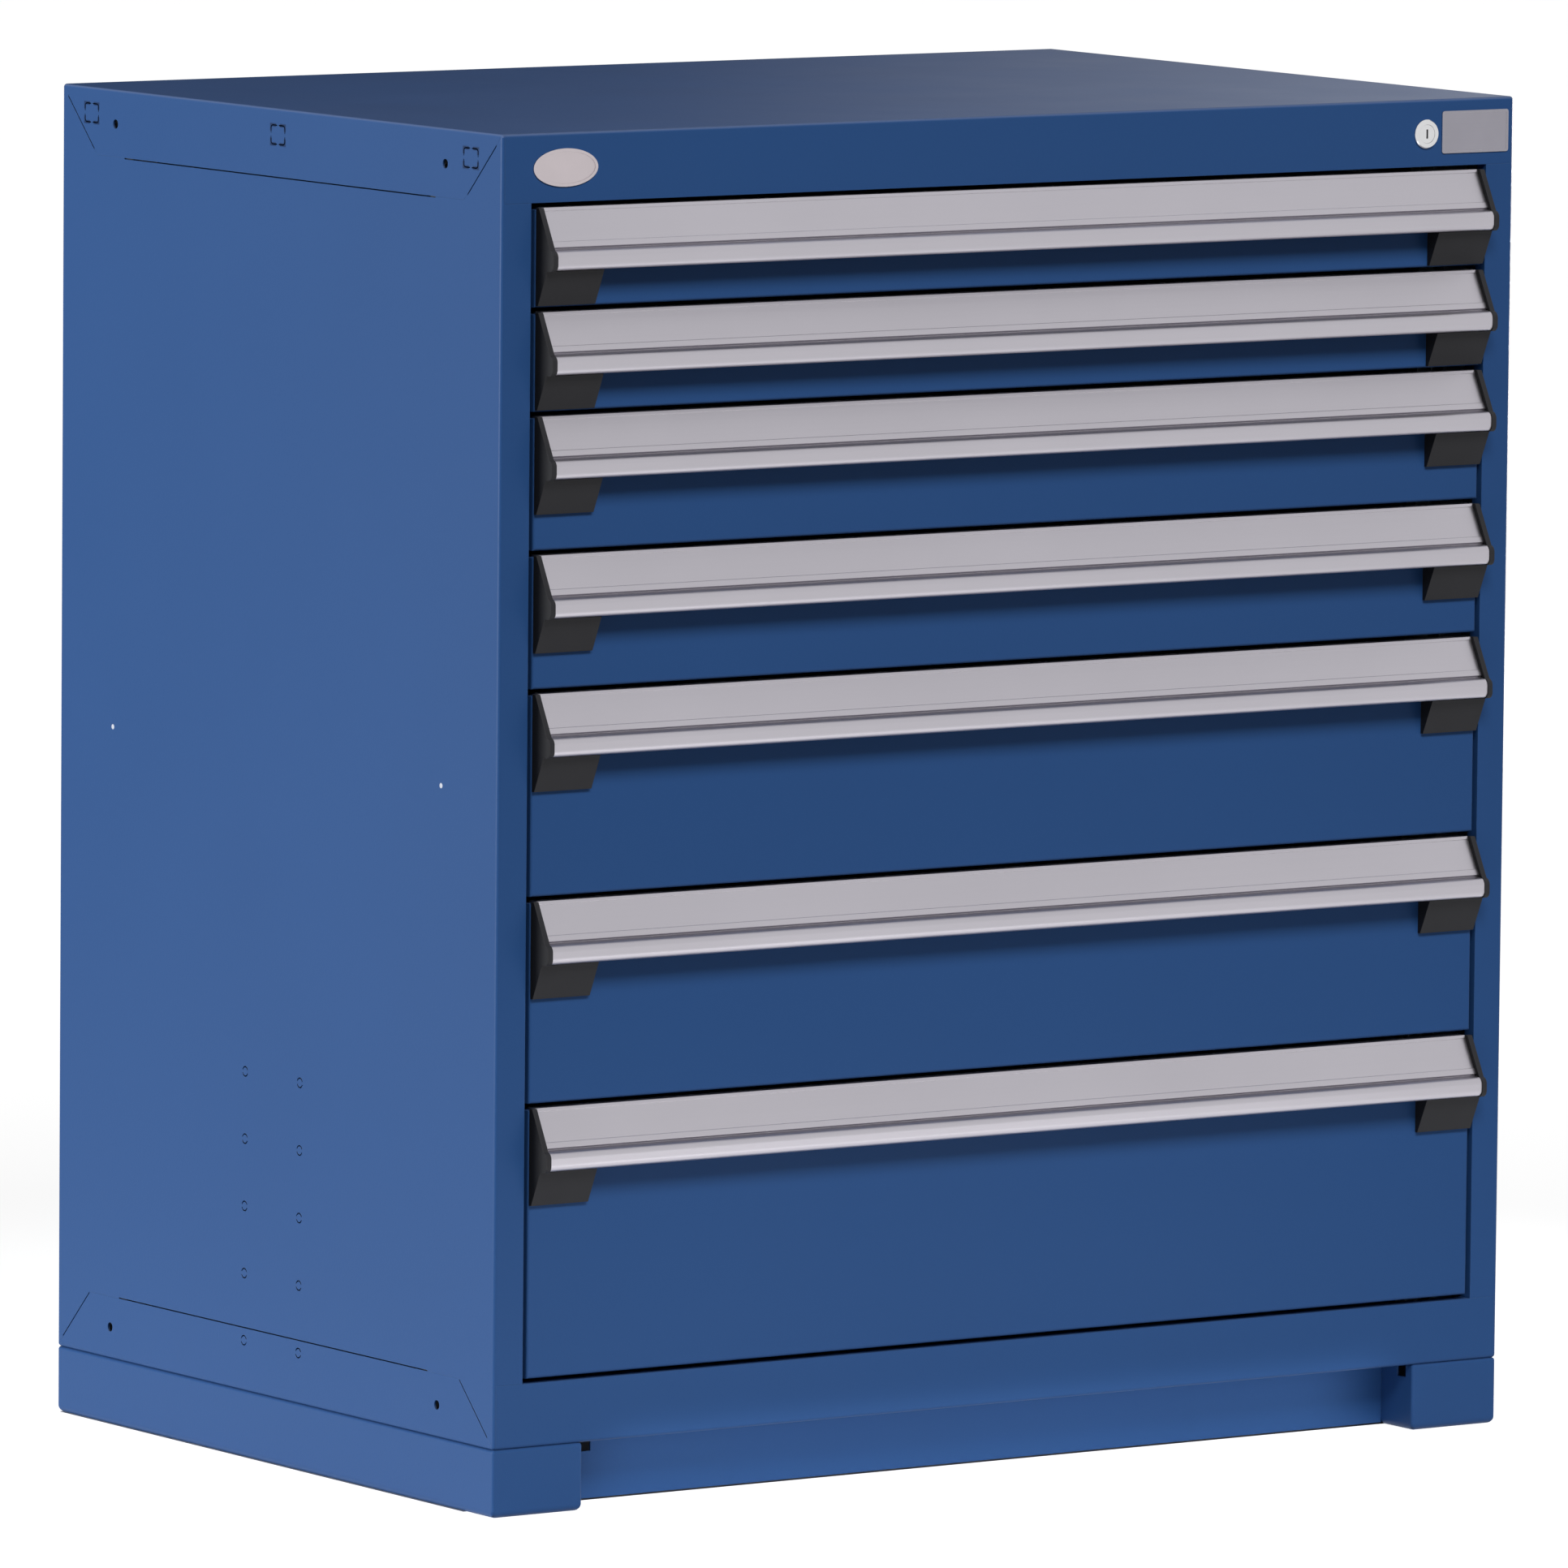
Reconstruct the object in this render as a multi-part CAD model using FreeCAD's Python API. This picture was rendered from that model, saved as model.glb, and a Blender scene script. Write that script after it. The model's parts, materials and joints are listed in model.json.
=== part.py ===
import FreeCAD, Part
import math
import os

from FreeCAD import Vector

# A modular drawer cabinet in folded sheet steel: a housing on a fork lift base, seven
# full width drawers on telescopic roller slides, and one lock that bars them all.
# While it is drawn, y = 0 is the front face of the housing, +y goes back into it,
# x = 0 is its middle and z = 0 is the floor. Only save() moves the pieces, so that the
# origin ends up on the floor beneath the middle of everything.

# Housing, in millimetres
cabinet_width = 914.4
housing_depth = 609.6
base_height = 50.8
bottom_rail_height = 47.3
header_height = 50.8
post_width = 25.4
rear_flange = 25.4
edge_return = 12.0  # folded back round the front opening
skin = 1.5
bend_radius = 2.5  # outside of every fold

# Seams and punched holes in the sides
seam_gap = 0.9
seam_end = 89.0  # where a level seam stops, from the front and from the back
mitre_start = 8.0
mitre_end = 46.0
post_line = 76.2  # centre of an upright, from the front or the back face
joining_hole_radius = 3.5
joining_hole_edge = 26.0  # from the top, and from the bottom of the housing
joining_hole_low = 24.0
knockout_cut = 0.9
knockout_bridge = 2.4
round_knockout_radius = 4.0
grid_columns = 2
grid_rows = 5
grid_column_pitch = 76.2
grid_row_pitch = 50.8
grid_first_row = 38.1  # above the bottom of the housing
tab_length = 20.0
tab_height = 15.0
tab_corner = 3.0
tab_drop = 19.6
tab_inset = 42.0  # from the front and from the back; the third is half way

# Drawer fronts, from the top drawer down
front_pitches = [76.2, 76.2, 101.6, 101.6, 152.4, 152.4, 203.2]
front_gap = 3.5
side_gap = 3.8
front_sheet = 1.5
front_fold = 13.5
front_return = 12.0  # second fold, behind the front
front_edge_radius = 2.0

# Handle extrusion: its label face leans forward, and a grip rolls under it.
# Reach is measured forward from the drawer front, and drop down from the top edge.
handle_top = 1.5
handle_hook = 9.0
web_thickness = 1.8
web_drop = 24.0
face_reach = 15.0
face_drop = 28.0
face_thickness = 2.2
label_recess = 0.5
label_margin_top = 2.6
label_margin_bottom = 4.6
groove_depth = 1.6
groove_height = 2.2
grip_top_reach = 18.8
grip_reach = 22.9
grip_height = 14.6
grip_thickness = 7.4
grip_rounding = 5.0
grip_inner_rounding = 2.2

# End caps of the handle
cap_cheek = 4.2
cap_inset = 0.5
cap_proud = 0.6  # beyond the grip
cap_face_proud = 3.6  # beyond the label face
cap_height = 71.5
cap_block_width = 50.0
cap_block_reach = 15.0
cap_block_foot = 3.0
cap_grip_clearance = 0.6

# Drawer trays
tray_back_clearance = 57.3  # behind a closed drawer, to the back panel
tray_sheet = 1.2
tray_floor_rise = 3.0
tray_top_drop = 11.0
tray_side_thickness = 21.5  # from the inner wall's face to the outer wall's face
tray_skirt_rise = 8.0
divider_pitch = 25.4
divider_slot = 2.4
divider_margin = 13.0  # between a divider slot and the rim or the floor

# Slides: a rail on the housing, a roller carriage and a runner on the drawer
slide_rise = 14.0  # above the foot of the drawer front
slide_height = 36.0
slide_sheet = 2.0
runner_flange = 11.5
rail_flange = 12.7
carriage_gap = 2.5
carriage_height = 26.0
carriage_corner = 12.0
roller_clearance = 0.3
roller_side_gap = 1.5
roller_hub_radius = 5.0
roller_hub_proud = 0.8
rail_front = 30.0
rail_back_clearance = 31.6  # to the back panel
runner_front = 18.0
carriage_front = 30.0
carriage_back_gap = 11.0  # to the back end of the rail
roller_front_inset = 20.0  # from the front end of the carriage
roller_back_inset = 19.0
roller_fore = 35.0  # in front of the middle of the carriage
roller_aft = 33.0

# Uprights with the hooked slots that carry the rails
upright_width = 44.0
upright_depth = 22.0  # from the side wall to the lips that carry the rails
upright_lip = 12.0
upright_sheet = 1.5
slot_pitch = 25.4
hook_slot_width = 4.4
hook_slot_height = 14.0
hook_slot_rise = 22.0  # above the foot of each inch of drawer front
hook_thickness = 3.6
hook_height = 8.0
hook_drop = 4.0
hook_clearance = 0.2

# Lock and lock bar
lock_inset = 82.5  # from the right side of the cabinet
lock_drop = 26.0
lock_flange_radius = 11.0
lock_flange = 2.2
lock_flange_chamfer = 0.8
lock_body_radius = 9.5
lock_body_length = 13.0
lock_hole_clearance = 0.1
plug_radius = 7.0
plug_clearance = 0.1
plug_recess = 0.3
keyway_width = 1.6
keyway_length = 7.0
keyway_depth = 6.0
cam_front = 15.0
cam_thickness = 2.5
cam_radius = 13.0
crank_radius = 10.0
crank_pin_radius = 2.5
crank_start = 225.0  # degrees, of the pin about the plug while unlocked
crank_turn = 90.0
crank_slot_clearance = 0.6
lock_nut_flats = 24.0
lock_nut_thickness = 4.5
bar_front = 18.0
bar_thickness = 3.0
bar_width = 15.0
bar_wall_gap = 3.7
bar_foot_height = 16.0
bar_foot_edge = 3.0
bar_tail = 20.0
lug_thickness = 2.5
lug_height = 12.0
lug_lap = 10.0  # over the back face of the bar
stud_overlap = 3.3  # across, of a stud over its lug
lug_rest_gap = 2.5  # under the stud of a drawer while unlocked
stud_radius = 2.5
stud_rise = 56.0  # above the foot of the drawer front
stud_gap = 2.0  # behind the lugs
stud_end_gap = 1.3  # to the post, as the drawer runs out
guide_rise = 20.0
guide_height = 12.0
guide_wall = 3.1
guide_clearance = 0.4
guide_every = 3  # a guide at each third drawer, from the top one

# Fork lift base
foot_width = 78.7
foot_floor_radius = 5.0
base_floor_flange = 30.0
cover_setback = 40.0
cover_lift = 1.5
cover_fold = 15.0
cover_notch_end = 112.0  # from the left side of the cabinet
cover_notch_height = 14.0
return_notch_front = 9.0
return_notch_width = 11.0
return_notch_height = 9.0

# Fasteners
base_bolt_radius = 4.0
base_bolt_flats = 13.0
base_bolt_head = 5.3
base_bolt_inset = 50.0
back_screw_radius = 2.0
back_screw_head_radius = 3.5
back_screw_length = 6.0
back_screw_inset = 12.7
back_screw_rows = 5
back_screw_columns = 4

# Blank plates on the header
badge_length = 56.0
badge_height = 28.0
badge_inset = 54.6
badge_drop = 25.6
badge_thickness = 1.2
badge_rim = 2.2
badge_rim_height = 0.5
label_length = 62.0
label_height = 32.0
label_inset = 36.6
label_drop = 25.3
label_corner = 2.0
label_thickness = 1.0
label_border = 1.6
label_border_height = 0.3

# What follows from the sizes above
half_width = cabinet_width / 2
inside_half = half_width - skin
corner_half = half_width - bend_radius
opening_half = half_width - post_width
front_half = opening_half - side_gap
opening_bottom = base_height + bottom_rail_height
opening_top = opening_bottom + front_gap + sum(front_pitches)
cabinet_height = opening_top + header_height
floor_top = base_height + skin
ceiling = cabinet_height - skin
cap_outer = front_half - cap_inset
handle_half = cap_outer - cap_cheek
grip_top_drop = face_drop + groove_height
grip_bottom_drop = grip_top_drop + grip_height
cap_reach = grip_reach + cap_proud
overall_depth = housing_depth + cap_reach
front_plane = cap_reach - overall_depth / 2

upright_inner = inside_half - upright_depth
rail_outer = upright_inner
rail_inner = rail_outer - rail_flange
carriage_outer = rail_inner - carriage_gap
carriage_inner = carriage_outer - slide_sheet
tray_outer = carriage_inner - carriage_gap - runner_flange
tray_half_inside = tray_outer - tray_side_thickness
back_panel_front = housing_depth - 2 * skin
tray_front = front_fold
tray_back = back_panel_front - tray_back_clearance
rail_back = back_panel_front - rail_back_clearance
carriage_back = rail_back - carriage_back_gap
carriage_middle = (carriage_front + carriage_back) / 2
roller_radius = slide_height / 2 - slide_sheet - roller_clearance

foot_inner = half_width - foot_width

lock_x = half_width - lock_inset
lock_z = cabinet_height - lock_drop
bar_back = bar_front + bar_thickness
bar_outer = inside_half - bar_wall_gap
bar_inner = bar_outer - bar_width
crank_x = lock_x + crank_radius * math.cos(math.radians(crank_start))
crank_z = lock_z + crank_radius * math.sin(math.radians(crank_start))
crank_locked_x = lock_x + crank_radius * math.cos(math.radians(crank_start - crank_turn))
lug_back = bar_back + lug_thickness
stud_end = opening_half - stud_end_gap
lug_tip = stud_end - stud_overlap


def drawer_feet():
    """Heights of the lower edges of the drawer fronts, top drawer first."""
    feet = []
    height = opening_top
    for pitch in front_pitches:
        height -= pitch
        feet.append(height)
    return feet


def box(x0, x1, y0, y1, z0, z1):
    return Part.makeBox(x1 - x0, y1 - y0, z1 - z0, Vector(x0, y0, z0))


def prism_x(outline, x0, x1):
    """A solid between two x planes, from an outline of (y, z) points."""
    points = [Vector(x0, y, z) for y, z in outline]
    return Part.Face(Part.makePolygon(points + points[:1])).extrude(Vector(x1 - x0, 0, 0))


def prism_y(outline, y0, y1):
    """A solid between two y planes, from an outline of (x, z) points."""
    points = [Vector(x, y0, z) for x, z in outline]
    return Part.Face(Part.makePolygon(points + points[:1])).extrude(Vector(0, y1 - y0, 0))


def prism_z(outline, z0, z1):
    """A solid between two heights, from an outline of (x, y) points."""
    points = [Vector(x, y, z0) for x, y in outline]
    return Part.Face(Part.makePolygon(points + points[:1])).extrude(Vector(0, 0, z1 - z0))


def rod_x(radius, x0, x1, y, z):
    return Part.makeCylinder(radius, x1 - x0, Vector(x0, y, z), Vector(1, 0, 0))


def rod_y(radius, y0, y1, x, z):
    return Part.makeCylinder(radius, y1 - y0, Vector(x, y0, z), Vector(0, 1, 0))


def rod_z(radius, z0, z1, x, y):
    return Part.makeCylinder(radius, z1 - z0, Vector(x, y, z0), Vector(0, 0, 1))


def hexagon(flats, across, along):
    """The corners of a hexagon round a centre, given the distance across its flats."""
    corner = flats / math.sqrt(3)
    angles = [math.radians(60 * step) for step in range(6)]
    return [(across + corner * math.cos(angle), along + corner * math.sin(angle)) for angle in angles]


def join(pieces):
    return pieces[0].fuse(pieces[1:]).removeSplitter()


def mirrored(shape):
    return shape.mirror(Vector(0, 0, 0), Vector(1, 0, 0))


def pair(shape):
    """A piece and its mirror image on the other side of the cabinet."""
    return [shape, mirrored(shape)]


def round_some(shape, radius, chosen):
    return shape.makeFillet(radius, [edge for edge in shape.Edges if chosen(edge)])


def save(name, pieces):
    shape = Part.makeCompound(pieces) if isinstance(pieces, list) else pieces
    shape.translated(Vector(0, front_plane, 0)).exportStep("parts/" + name + ".step")
    print(name, "%.0f" % shape.Volume)


def folded_shell(x0, x1, y0, y1, z0, z1):
    """A closed sheet box with rounded outside edges."""
    outside = box(x0, x1, y0, y1, z0, z1)
    outside = outside.makeFillet(bend_radius, outside.Edges)
    return outside.cut(box(x0 + skin, x1 - skin, y0 + skin, y1 - skin, z0 + skin, z1 - skin))


def side_outline():
    """Outline of a side wall, mitred against the folds of the top and the bottom."""
    back = housing_depth
    return [
        (0, cabinet_height),
        (header_height, opening_top),
        (back - header_height, opening_top),
        (back, cabinet_height),
        (back, base_height),
        (back - bottom_rail_height, opening_bottom),
        (bottom_rail_height, opening_bottom),
        (0, base_height),
    ]


def seam_cuts():
    """Open stretches of the seams of the right side: two level and four mitred."""
    cuts = []
    rise = seam_gap * math.sqrt(2)
    for corner, inward, level in ((cabinet_height, -1, opening_top), (base_height, 1, opening_bottom)):
        low, high = sorted((level, level + inward * seam_gap))
        cuts.append(box(inside_half, half_width, seam_end, housing_depth - seam_end, low, high))
        mitre = [
            (mitre_start, corner + inward * mitre_start),
            (mitre_end, corner + inward * mitre_end),
            (mitre_end, corner + inward * (mitre_end + rise)),
            (mitre_start, corner + inward * (mitre_start + rise)),
        ]
        rear_mitre = [(housing_depth - y, z) for y, z in mitre]
        cuts.append(prism_x(mitre, inside_half, half_width))
        cuts.append(prism_x(rear_mitre, inside_half, half_width))
    return cuts


def round_knockout(y, z):
    """Ring cut through the right side that leaves a disc on two bridges."""
    ring = rod_x(round_knockout_radius, inside_half, half_width, y, z)
    ring = ring.cut(rod_x(round_knockout_radius - knockout_cut, inside_half, half_width, y, z))
    half_bridge = knockout_bridge / 2
    reach = 2 * round_knockout_radius
    return ring.cut(box(inside_half, half_width, y - reach, y + reach, z - half_bridge, z + half_bridge))


def rounded_block(y, z, length, height, corner):
    """A block through the right side with four rounded corners."""
    block = box(inside_half, half_width, y - length / 2, y + length / 2, z - height / 2, z + height / 2)
    return round_some(block, corner, lambda edge: edge.BoundBox.XLength > skin / 2)


def tab_knockout(y, z):
    """Rounded oblong cut round a tab that stays on bridges in the middle of its sides."""
    ring = rounded_block(y, z, tab_length, tab_height, tab_corner)
    inner = (tab_length - 2 * knockout_cut, tab_height - 2 * knockout_cut, tab_corner - knockout_cut)
    ring = ring.cut(rounded_block(y, z, *inner))
    half_bridge = knockout_bridge / 2
    level = box(inside_half, half_width, y - tab_length, y + tab_length, z - half_bridge, z + half_bridge)
    upright = box(inside_half, half_width, y - half_bridge, y + half_bridge, z - tab_height, z + tab_height)
    return ring.cut([level, upright])


def post_lines():
    return [post_line, housing_depth - post_line]


def joining_heights():
    return [cabinet_height - joining_hole_edge, base_height + joining_hole_low]


def side_punchings():
    """Everything that is punched through the right side of the housing."""
    cuts = []
    middle = housing_depth / 2
    for y in post_lines():
        for z in joining_heights():
            cuts.append(rod_x(joining_hole_radius, inside_half, half_width, y, z))
    for y in (tab_inset, middle, housing_depth - tab_inset):
        cuts.append(tab_knockout(y, cabinet_height - tab_drop))
    for column in range(grid_columns):
        y = middle + (column - (grid_columns - 1) / 2) * grid_column_pitch
        for row in range(grid_rows):
            cuts.append(round_knockout(y, base_height + grid_first_row + row * grid_row_pitch))
    return cuts


def back_screw_places():
    """Centres (x, z) of the screws round the back panel."""
    across = half_width - back_screw_inset
    low = base_height + back_screw_inset
    high = cabinet_height - back_screw_inset
    places = []
    for row in range(back_screw_rows):
        z = low + (high - low) * row / (back_screw_rows - 1)
        places += [(-across, z), (across, z)]
    for column in range(1, back_screw_columns - 1):
        x = -across + 2 * across * column / (back_screw_columns - 1)
        places += [(x, low), (x, high)]
    return places


def back_screw(x, z):
    """A flush countersunk screw, head towards the back."""
    sink = back_screw_head_radius - back_screw_radius
    shank = rod_y(back_screw_radius, housing_depth - back_screw_length, housing_depth - sink, x, z)
    place = Vector(x, housing_depth - sink, z)
    head = Part.makeCone(back_screw_radius, back_screw_head_radius, sink, place, Vector(0, 1, 0))
    return join([shank, head])


def back_screws():
    return [back_screw(x, z) for x, z in back_screw_places()]


def side_panel(shell):
    """Right side: wall, front post, its return and the rear flange, in one sheet."""
    wall = shell.common(prism_x(side_outline(), corner_half, half_width))
    post = box(opening_half, corner_half, 0, skin, opening_bottom, opening_top)
    post_return = box(opening_half, opening_half + skin, 0, edge_return, opening_bottom, opening_top)
    low = base_height + rear_flange
    high = cabinet_height - rear_flange
    rear = box(half_width - rear_flange, corner_half, housing_depth - skin, housing_depth, low, high)
    sheet = join([wall, post, post_return, rear])
    return sheet.cut(seam_cuts() + side_punchings() + back_screws())


def without_side_walls(slab):
    walls = prism_x(side_outline(), corner_half, half_width)
    return slab.cut(pair(walls))


def top_panel(shell):
    """Top plate with the header, the side folds and the rear fold."""
    sheet = shell.common(box(-half_width, half_width, 0, housing_depth, opening_top, cabinet_height))
    sheet = without_side_walls(sheet)
    rear = (housing_depth - skin, housing_depth)
    behind = box(-corner_half, corner_half, *rear, opening_top, cabinet_height - rear_flange)
    header_return = box(-opening_half, opening_half, 0, edge_return, opening_top, opening_top + skin)
    lock_hole = rod_y(lock_body_radius + lock_hole_clearance, 0, skin, lock_x, lock_z)
    punchings = side_punchings()
    punchings += [mirrored(cut) for cut in punchings]
    return join([sheet.cut(behind), header_return]).cut([lock_hole] + punchings + back_screws())


def bottom_panel(shell):
    """Bottom plate with the front rail, the side folds and the rear fold."""
    sheet = shell.common(box(-half_width, half_width, 0, housing_depth, base_height, opening_bottom))
    sheet = without_side_walls(sheet)
    rear = (housing_depth - skin, housing_depth)
    behind = box(-corner_half, corner_half, *rear, base_height + rear_flange, opening_bottom)
    rail_return = box(-opening_half, opening_half, 0, edge_return, opening_bottom - skin, opening_bottom)
    punchings = side_punchings()
    punchings += [mirrored(cut) for cut in punchings]
    return join([sheet.cut(behind), rail_return]).cut(base_bolts() + punchings + back_screws())


def back_panel():
    back = back_panel_front + skin
    plate = box(-inside_half, inside_half, back_panel_front, back, floor_top, ceiling)
    return plate.cut(back_screws())


def slot_feet():
    """Heights of the hook slots: a row that starts at each drawer and fills its height."""
    heights = []
    for foot, pitch in zip(drawer_feet(), front_pitches):
        heights += [foot + hook_slot_rise + slot_pitch * step for step in range(round(pitch / slot_pitch))]
    return heights


def upright(y):
    """A right hand channel, its web on the side wall and its slotted lips inwards."""
    low = y - upright_width / 2
    high = y + upright_width / 2
    web = box(inside_half - upright_sheet, inside_half, low, high, floor_top, ceiling)
    legs = [
        box(upright_inner, inside_half, low, low + upright_sheet, floor_top, ceiling),
        box(upright_inner, inside_half, high - upright_sheet, high, floor_top, ceiling),
    ]
    lips = [
        box(upright_inner, upright_inner + upright_sheet, low, low + upright_lip, floor_top, ceiling),
        box(upright_inner, upright_inner + upright_sheet, high - upright_lip, high, floor_top, ceiling),
    ]
    slots = []
    through = (upright_inner, upright_inner + upright_sheet)
    for foot in slot_feet():
        for side in (low + upright_lip / 2, high - upright_lip / 2):
            across = (side - hook_slot_width / 2, side + hook_slot_width / 2)
            slots.append(box(*through, *across, foot, foot + hook_slot_height))
    for z in joining_heights():
        slots.append(rod_x(joining_hole_radius, inside_half - upright_sheet, inside_half, y, z))
    return join([web] + legs + lips).cut(slots)


def slide_low(foot):
    return foot + slide_rise


def rail_hook(side, foot):
    """Hook on the back of a rail that drops into a slot of an upright."""
    slot = foot + hook_slot_rise
    across = (side - hook_thickness / 2, side + hook_thickness / 2)
    behind = rail_outer + upright_sheet + hook_clearance
    neck = box(rail_outer, behind + slide_sheet, *across, slot, slot + hook_height)
    drop = box(behind, behind + slide_sheet, *across, slot - hook_drop, slot + hook_height)
    return [neck, drop]


def cabinet_rail(foot):
    """Right hand rail: a channel that opens towards the drawer, hooked to both uprights."""
    low = slide_low(foot)
    high = low + slide_height
    pieces = [
        box(rail_outer - slide_sheet, rail_outer, rail_front, rail_back, low, high),
        box(rail_inner, rail_outer, rail_front, rail_back, low, low + slide_sheet),
        box(rail_inner, rail_outer, rail_front, rail_back, high - slide_sheet, high),
    ]
    front, back = post_lines()
    reach = upright_width / 2 - upright_lip / 2
    pieces += rail_hook(front + reach, foot) + rail_hook(back - reach, foot)
    return join(pieces)


def runner(foot):
    """Right hand runner on the drawer: a channel that opens outwards."""
    low = slide_low(foot)
    high = low + slide_height
    outer = tray_outer + runner_flange
    return join([
        box(tray_outer, tray_outer + slide_sheet, runner_front, tray_back, low, high),
        box(tray_outer, outer, runner_front, tray_back, low, low + slide_sheet),
        box(tray_outer, outer, runner_front, tray_back, high - slide_sheet, high),
    ])


def roller(x0, x1, hub, y, z):
    """A roller with its hub standing proud on the face away from the carriage."""
    wheel = rod_x(roller_radius, x0, x1, y, z)
    hub_end = x1 + roller_hub_proud if hub > 0 else x0 - roller_hub_proud
    return join([wheel, rod_x(roller_hub_radius, min(x0, hub_end), max(x1, hub_end), y, z)])


def carriage(foot):
    """Right hand carriage strip with rollers in the runner and in the cabinet rail."""
    middle = slide_low(foot) + slide_height / 2
    half = carriage_height / 2
    strip = box(carriage_inner, carriage_outer, carriage_front, carriage_back, middle - half, middle + half)
    strip = round_some(strip, carriage_corner, lambda edge: edge.BoundBox.XLength > slide_sheet / 2)
    pieces = [strip]
    runner_face = tray_outer + slide_sheet + roller_side_gap
    rail_face = rail_outer - slide_sheet - roller_side_gap
    for y in (carriage_front + roller_front_inset, carriage_middle - roller_fore):
        pieces.append(roller(runner_face, carriage_inner, -1, y, middle))
    for y in (carriage_middle + roller_aft, carriage_back - roller_back_inset):
        pieces.append(roller(carriage_outer, rail_face, 1, y, middle))
    return pieces


def front_top(foot, pitch):
    return foot + pitch - front_gap


def drawer_front(foot, pitch):
    """Folded pan of the drawer front."""
    high = front_top(foot, pitch) - handle_top
    pan = box(-front_half, front_half, 0, front_fold, foot, high)
    pan = round_some(pan, front_edge_radius, lambda edge: edge.BoundBox.YMax < front_fold / 2)
    back = front_fold - front_sheet
    inside = front_half - front_sheet
    pan = pan.cut(box(-inside, inside, front_sheet, back, foot + front_sheet, high - front_sheet))
    window = front_half - front_return
    return pan.cut(box(-window, window, back, front_fold, foot + front_return, high - front_return))


def tray(foot, pitch):
    """Drawer body with folded over sides and slots for dividers."""
    low = foot + tray_floor_rise
    high = foot + pitch - tray_top_drop
    wall = tray_half_inside + tray_sheet
    tub = box(-wall, wall, tray_front, tray_back, low, high)
    hollow = (tray_front + tray_sheet, tray_back - tray_sheet, low + tray_sheet, high)
    tub = tub.cut(box(-tray_half_inside, tray_half_inside, *hollow))
    rim = box(tray_half_inside, tray_outer, tray_front, tray_back, high - tray_sheet, high)
    skirt = box(tray_outer - tray_sheet, tray_outer, tray_front, tray_back, foot + tray_skirt_rise, high)
    slots = []
    middle = (tray_front + tray_back) / 2
    depth_inside = tray_back - tray_front - 2 * tray_sheet
    count = round(depth_inside / divider_pitch) - 1
    for step in range(count):
        y = middle + (step - (count - 1) / 2) * divider_pitch
        across = (y - divider_slot / 2, y + divider_slot / 2)
        slots.append(box(tray_half_inside, wall, *across, low + divider_margin, high - divider_margin))
    slots += [mirrored(slot) for slot in slots]
    return join([tub] + pair(rim) + pair(skirt)).cut(slots)


def lock_stud(foot):
    """Stud on the right side of the tray, which a raised lug of the lock bar holds back."""
    return rod_x(stud_radius, tray_outer, stud_end, lug_back + stud_gap + stud_radius, foot + stud_rise)


def face_point(along, inward):
    """A point (reach, drop) on the label face, set inwards by a depth."""
    length = math.hypot(face_reach, face_drop)
    forward = face_reach / length
    down = face_drop / length
    return (forward * along - down * inward, down * along + forward * inward)


def wire_x(x, top, steps):
    """A closed outline at one x from (reach, drop) points, where a step of two is an arc."""
    edges = []
    start = steps[-1][-1]
    for step in steps:
        points = [Vector(x, -reach, top - drop) for reach, drop in [start] + list(step)]
        edges.append(Part.Arc(*points).toShape() if len(points) == 3 else Part.makeLine(*points))
        start = step[-1]
    return Part.Wire(edges)


def face_back_drop(reach):
    """How far down the back of the label face is at a reach."""
    length = math.hypot(face_reach, face_drop)
    across = (reach + face_thickness * face_drop / length) * face_drop / face_reach
    return across + face_thickness * face_reach / length


def handle(foot, pitch):
    """The aluminium extrusion across the whole drawer front."""
    top = front_top(foot, pitch)
    label_end = math.hypot(face_reach, face_drop) - label_margin_bottom
    grip_back = grip_reach - grip_thickness
    neck = face_reach - groove_depth - face_thickness
    bow = (1 - math.sqrt(0.5)) * grip_rounding
    inner_bow = (1 - math.sqrt(0.5)) * grip_inner_rounding
    inner_start = grip_bottom_drop - grip_inner_rounding
    steps = [
        [(0, 0)],
        [face_point(label_margin_top, 0)],
        [face_point(label_margin_top, label_recess)],
        [face_point(label_end, label_recess)],
        [face_point(label_end, 0)],
        [(face_reach, face_drop)],
        [(face_reach - groove_depth, face_drop + groove_depth)],
        [(grip_top_reach, grip_top_drop)],
        [(grip_reach - bow, grip_top_drop + bow), (grip_reach, grip_top_drop + grip_rounding)],
        [(grip_reach, grip_bottom_drop - grip_rounding)],
        [(grip_reach - bow, grip_bottom_drop - bow), (grip_reach - grip_rounding, grip_bottom_drop)],
        [(grip_back + grip_inner_rounding, grip_bottom_drop)],
        [(grip_back + inner_bow, grip_bottom_drop - inner_bow), (grip_back, inner_start)],
        [(grip_back, grip_top_drop + grip_rounding)],
        [(neck, grip_top_drop)],
        [(neck, face_back_drop(neck))],
        [(web_thickness, face_back_drop(web_thickness))],
        [(web_thickness, web_drop)],
        [(0, web_drop)],
        [(0, handle_top)],
        [(-handle_hook, handle_top)],
        [(-handle_hook, 0)],
    ]
    section = Part.Face(wire_x(-handle_half, top, steps))
    return section.extrude(Vector(2 * handle_half, 0, 0))


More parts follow.
